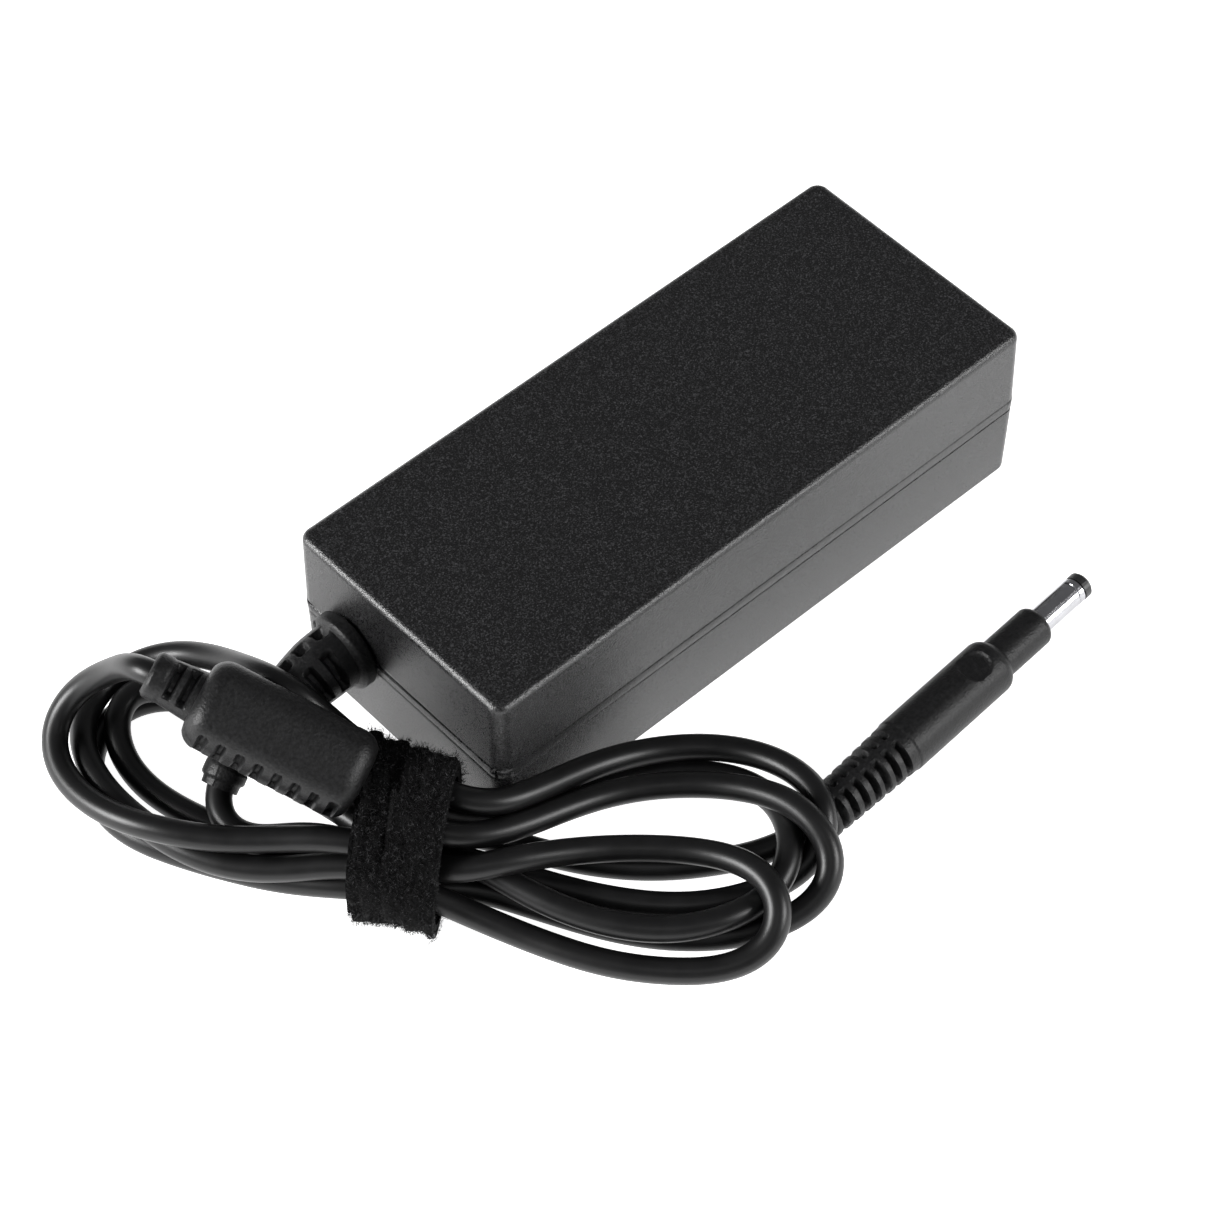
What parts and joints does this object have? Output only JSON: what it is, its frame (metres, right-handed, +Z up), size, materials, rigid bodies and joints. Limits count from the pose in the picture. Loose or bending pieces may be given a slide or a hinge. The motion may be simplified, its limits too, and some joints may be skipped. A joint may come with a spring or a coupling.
{
  "type": "laptop power adapter",
  "caption": "Black rectangular laptop power adapter with a mains inlet and a tied, coiled output lead with an in-line ferrite and a barrel plug.",
  "frame": {"origin": "centre of the case's flat bottom face, on the surface it rests on", "axes": "+X along the case from the output lead's end to the mains inlet, +Y across the case towards the side away from the coiled lead, +Z up through the case's flat top"},
  "size_m": [0.158, 0.1126, 0.0327],
  "materials": {
    "case_plastic": "fine spark-eroded black polycarbonate",
    "blank_label": "dark grey blank label film",
    "inlet_plastic": "black moulded thermoplastic",
    "nickel": "nickel plated",
    "board": "green fibreglass laminate",
    "insulating_film": "grey insulating film",
    "aluminium": "satin aluminium sheet",
    "cream_ceramic": "cream ceramic",
    "green_ceramic": "green ceramic disc",
    "blue_ceramic": "blue ceramic disc",
    "ferrite": "dark grey sintered ferrite",
    "yellow_film": "yellow plastic film",
    "taped_winding": "copper winding under yellow tape",
    "copper": "enamelled copper wire",
    "black_epoxy": "black moulded epoxy",
    "black_plastic": "black plastic",
    "white_wire": "cream wire insulation",
    "relief_pvc": "semi-gloss black soft PVC",
    "cord_pvc": "glossy black PVC",
    "strap_fabric": "black hook-and-loop fabric",
    "chrome": "polished plated metal"
  },
  "bodies": {
    "root": {"top_shell": "case_plastic", "bottom_shell": "case_plastic", "rating_label": "blank_label", "inlet_housing": "inlet_plastic", "inlet_pin_line": "nickel", "inlet_pin_neutral": "nickel", "inlet_pin_earth": "nickel", "circuit_board": "board", "insulating_sheet": "insulating_film", "shield_plate": "aluminium", "input_fuse": "cream_ceramic", "inrush_thermistor": "green_ceramic", "x_capacitor": "yellow_film", "choke_core": "ferrite", "choke_winding_1": "copper", "choke_winding_2": "copper", "bridge_rectifier": "black_epoxy", "bulk_capacitor": "black_plastic", "primary_heatsink": "aluminium", "primary_insulating_pad": "insulating_film", "switching_transistor": "black_epoxy", "primary_screw": "nickel", "transformer_core": "ferrite", "transformer_bobbin": "black_plastic", "transformer_winding": "taped_winding", "y_capacitor": "blue_ceramic", "optocoupler": "black_epoxy", "controller_chip": "black_epoxy", "secondary_heatsink": "aluminium", "output_rectifier": "black_epoxy", "secondary_screw": "nickel", "output_capacitor_1": "black_plastic", "output_capacitor_2": "black_plastic", "output_choke": "copper", "output_wire_positive": "black_plastic", "output_wire_negative": "white_wire", "cord_strain_relief": "relief_pvc", "cord_lead_in": "cord_pvc", "cord_loops_left": "cord_pvc", "cord_loops_neck": "cord_pvc", "cord_loops_right": "cord_pvc", "cord_ferrite_run": "cord_pvc", "cord_lead_out": "cord_pvc", "ferrite_housing": "relief_pvc", "ferrite_core": "ferrite", "tie_strap": "strap_fabric", "plug_body": "relief_pvc", "plug_barrel": "chrome", "plug_insulator": "black_plastic", "plug_spring_contact": "nickel"}
  },
  "joints": []
}
